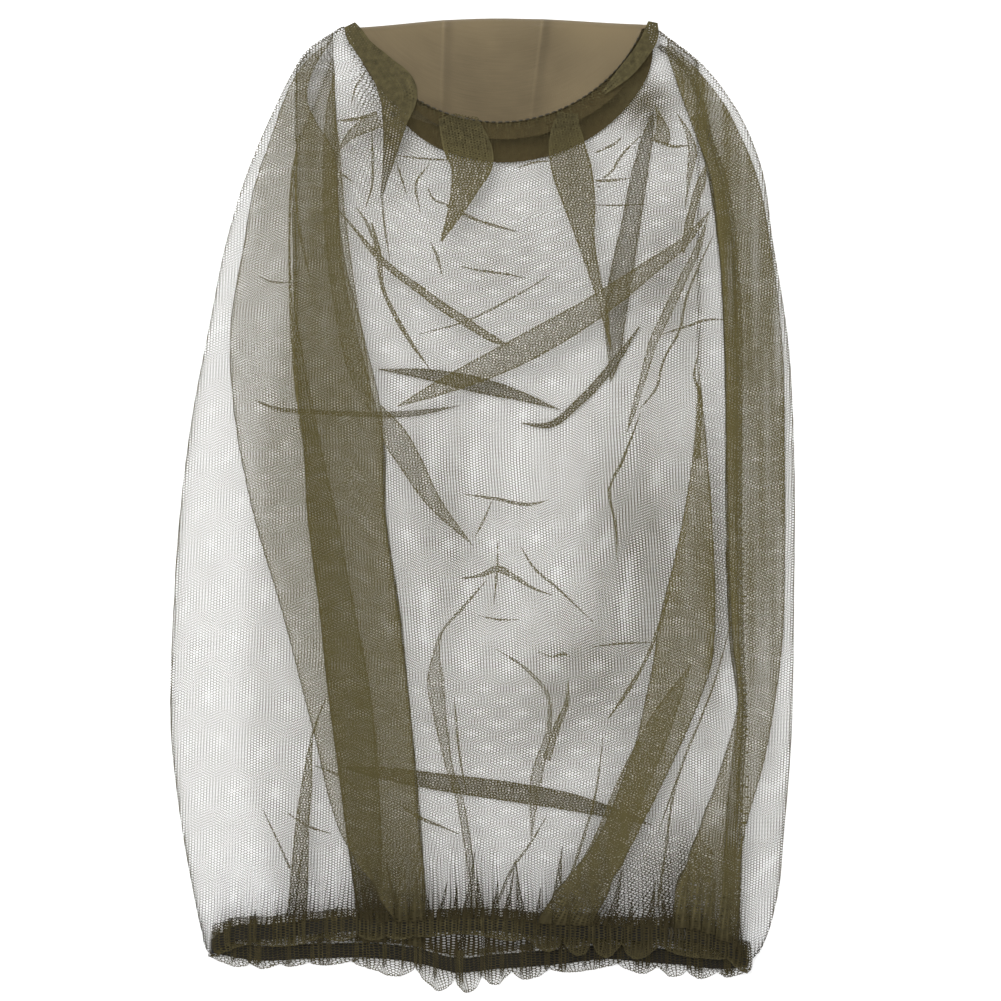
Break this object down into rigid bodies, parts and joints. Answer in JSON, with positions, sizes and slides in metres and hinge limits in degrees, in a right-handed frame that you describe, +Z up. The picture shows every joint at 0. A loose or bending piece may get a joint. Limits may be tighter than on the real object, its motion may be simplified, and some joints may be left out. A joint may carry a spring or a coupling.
{
  "type": "beekeeping veil",
  "caption": "Head net of soft tulle gathered onto a round cloth crown, with an elastic neck hem, lying flat.",
  "frame": {"origin": "centre of the flat veil's outline, on the surface that it lies on", "axes": "+Y from the neck hem to the crown, +X to the wearer-side right of the flat veil seen from above, +Z up"},
  "size_m": [0.3223, 0.5, 0.0225],
  "materials": {
    "crown_cloth": "thin plain-woven polyester, olive taupe, slight sheen",
    "netting": "soft hexagonal tulle netting, olive green",
    "thread": "dark olive sewing thread",
    "elastic": "ribbed black braided elastic"
  },
  "bodies": {
    "root": {"crown_panel": "crown_cloth", "crown_seam_allowance": "netting", "crown_seam_stitching": "thread", "net_front": "netting", "net_back": "netting", "side_seam_allowance": "netting", "side_seam_stitching": "thread", "hem_casing": "netting", "hem_stitching": "thread", "neck_elastic": "elastic", "elastic_bartack": "thread"}
  },
  "joints": []
}
